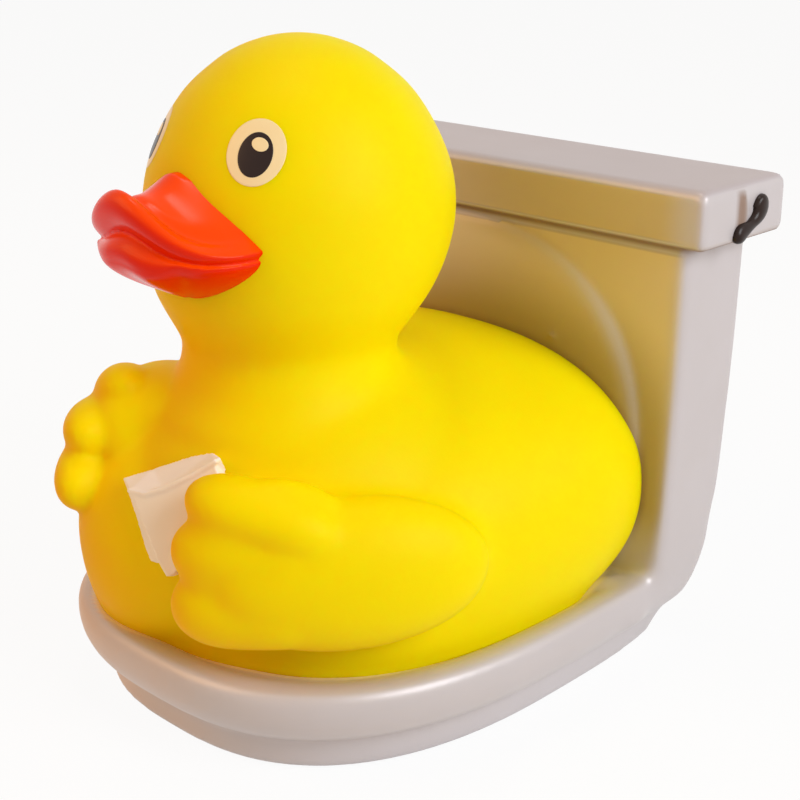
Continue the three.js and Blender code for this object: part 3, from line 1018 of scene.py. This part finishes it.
# %% Finishes
yellow_vinyl = mottled(
    "yellow_vinyl", srgb(255, 232, 0), srgb(255, 225, 0), 12, 0.5, 0.04, 0.35, 0.012,
    Subsurface_Weight=0.5, Subsurface_Radius=(1.0, 0.35, 0.02), Subsurface_Scale=4 * MM,
    Specular_IOR_Level=0.07,
)
bill_paint = mottled(
    "bill_paint", srgb(255, 80, 0), srgb(250, 68, 0), 8, 0.2, 0.03, 0.4, 0.008, Specular_IOR_Level=0.11,
)
eye_paint = mottled("eye_paint", srgb(250, 230, 180), srgb(246, 222, 170), 3, 0.35, 0.03, 0.2, 0.004)
dark_paint = mottled(
    "dark_paint", srgb(40, 20, 10), srgb(30, 14, 8), 3, 0.3, 0.05, 0.2, 0.004, Specular_IOR_Level=0.25,
)
toilet_paint = mottled(
    "toilet_paint", srgb(205, 199, 202), srgb(198, 191, 192), 14, 0.4, 0.05, 0.22, 0.008, Metallic=0.15,
)
paper_paint = mottled("paper_paint", srgb(255, 255, 255), srgb(250, 248, 252), 3, 0.5, 0.04, 0.3, 0.012)
case_resin = mottled("case_resin", srgb(233, 230, 220), srgb(226, 222, 210), 4, 0.4, 0.05, 0.3, 0.01)
block_resin = mottled("block_resin", srgb(201, 212, 220), srgb(192, 204, 214), 3, 0.42, 0.05, 0.3, 0.01)
reed_brass = mottled(
    "reed_brass", srgb(196, 160, 88), srgb(184, 148, 80), 2, 0.3, 0.06, 0.15, 0.005, Metallic=1.0,
)
for piece, material, rule in [
    (duck_skin, yellow_vinyl, vinyl_painted_warm_shade),
    (bill, bill_paint, bill_painted_shade),
    (toilet_skin, toilet_paint, mask_lines_and_painted_light),
    (paper, paper_paint, paper_painted_shade),
]:
    paint(piece, material)
    carry_tint(piece, rule.__name__, rule)
    tinted(material, rule.__name__)
paint(flush_lever, dark_paint)
for piece in eye_rings + glints:
    paint(piece, eye_paint)
for piece in pupils:
    paint(piece, dark_paint)
for node, material in [("squeaker_case", case_resin), ("reed_block", block_resin), ("reed", reed_brass)]:
    paint(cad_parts[node], material)
print("finishes", sorted(material.name for material in bpy.data.materials))

# %% [markdown]
# ## Floor, light and camera
# The floor is pale and catches the duck's shadow. To the camera, and in what glossy paint mirrors, it
# is nearly as white as the background, so only the shadow tells it apart.

# %% Floor
FLOOR_SIZE = 12
FLOOR_GLOW = 0.93
bpy.ops.object.select_all(action="DESELECT")
bpy.ops.mesh.primitive_plane_add(size=FLOOR_SIZE, location=(0, 0, -0.2 * MM))
floor = bpy.context.object
floor.name = "floor"


def seen_by_camera(nodes, links):
    """1 for a ray from the camera, also by way of a mirror or through glass, and 0 for any other."""
    path = nodes.new("ShaderNodeLightPath")
    either = nodes.new("ShaderNodeMath")
    either.operation = "MAXIMUM"
    links.new(path.outputs["Is Camera Ray"], either.inputs[0])
    links.new(path.outputs["Is Glossy Ray"], either.inputs[1])
    all_three = nodes.new("ShaderNodeMath")
    all_three.operation = "MAXIMUM"
    links.new(either.outputs[0], all_three.inputs[0])
    links.new(path.outputs["Is Transmission Ray"], all_three.inputs[1])
    return all_three.outputs[0]


def floor_material():
    material, nodes, links, shader = new_material("pale_floor")
    shader.inputs["Base Color"].default_value = (0.9, 0.9, 0.9, 1)
    shader.inputs["Roughness"].default_value = 0.9
    shader.inputs["Specular IOR Level"].default_value = 0
    glow = nodes.new("ShaderNodeEmission")
    glow.inputs["Color"].default_value = (1, 1, 1, 1)
    share = nodes.new("ShaderNodeMath")
    share.operation = "MULTIPLY"
    share.inputs[1].default_value = FLOOR_GLOW
    links.new(seen_by_camera(nodes, links), share.inputs[0])
    mix = nodes.new("ShaderNodeMixShader")
    links.new(share.outputs[0], mix.inputs[0])
    links.new(shader.outputs[0], mix.inputs[1])
    links.new(glow.outputs[0], mix.inputs[2])
    links.new(mix.outputs[0], nodes["Material Output"].inputs["Surface"])
    return material


paint(floor, floor_material())
print("floor", floor.dimensions.x, "m")

# %% [markdown]
# The lamps are big and soft, so the vinyl has no hard shadows. The main one is cool and stands to the
# right, a warm one fills from the front left, and a small weak one above gives the bill its
# highlight. The world is a dim warm glow for the shadows, and plain white to the camera.

# %% Lamps
def lamp(name, place, aim, size, power, colour):
    light = bpy.data.lights.new(name, "AREA")
    light.shape = "DISK"
    light.size = size
    light.energy = power
    light.color = colour
    thing = bpy.data.objects.new(name, light)
    bpy.context.scene.collection.objects.link(thing)
    thing.location = place
    thing.rotation_euler = (Vector(aim) - Vector(place)).to_track_quat("-Z", "Y").to_euler()
    return thing


AIM = (0, 0, 0.04)
lamp("key", (0.62, 0.05, 0.42), AIM, 0.42, 3.55, (0.93, 0.96, 1.0))
lamp("fill", (-0.32, -0.52, 0.45), AIM, 0.5, 1.75, (1.0, 0.56, 0.22))
lamp("top", (-0.08, 0.02, 0.62), AIM, 0.14, 0.42, (1.0, 0.94, 0.88))


def make_world():
    world = bpy.data.worlds.new("studio")
    bpy.context.scene.world = world
    world.use_nodes = True
    nodes, links = world.node_tree.nodes, world.node_tree.links
    ground = nodes["Background"]
    ground.inputs["Color"].default_value = (1.0, 0.8, 0.56, 1)
    ground.inputs["Strength"].default_value = 0.27
    white = nodes.new("ShaderNodeBackground")
    white.inputs["Color"].default_value = (1, 1, 1, 1)
    mix = nodes.new("ShaderNodeMixShader")
    links.new(seen_by_camera(nodes, links), mix.inputs[0])
    links.new(ground.outputs[0], mix.inputs[1])
    links.new(white.outputs[0], mix.inputs[2])
    links.new(mix.outputs[0], nodes["World Output"].inputs["Surface"])


make_world()
print("lamps", sorted(light.name for light in bpy.data.lights))

# %% [markdown]
# The camera stands where the photograph was taken from. Its angles, its distance and the focal length
# in picture points come from a fit to the corners of the lid, the tank and the bowl.

# %% Camera
CAMERA_AZIMUTH = math.radians(43.888)
CAMERA_ELEVATION = math.radians(19.53)
CAMERA_DISTANCE = 241.21
CAMERA_TARGET = (0, 9.59, 38.01)
PICTURE_WIDTH = 800
FOCAL_PIXELS = 1538.25


def make_camera():
    data = bpy.data.cameras.new("camera")
    data.sensor_width = 36
    data.lens = FOCAL_PIXELS * data.sensor_width / PICTURE_WIDTH
    data.clip_start = 0.01
    camera = bpy.data.objects.new("camera", data)
    bpy.context.scene.collection.objects.link(camera)
    back = Vector((
        math.sin(CAMERA_AZIMUTH) * math.cos(CAMERA_ELEVATION),
        -math.cos(CAMERA_AZIMUTH) * math.cos(CAMERA_ELEVATION),
        math.sin(CAMERA_ELEVATION),
    ))
    camera.location = at(*CAMERA_TARGET) + back * CAMERA_DISTANCE * MM
    camera.rotation_euler = back.to_track_quat("Z", "Y").to_euler()
    bpy.context.scene.camera = camera
    return camera


print("lens", round(make_camera().data.lens, 1), "mm")
bpy.context.scene.view_settings.view_transform = "Standard"
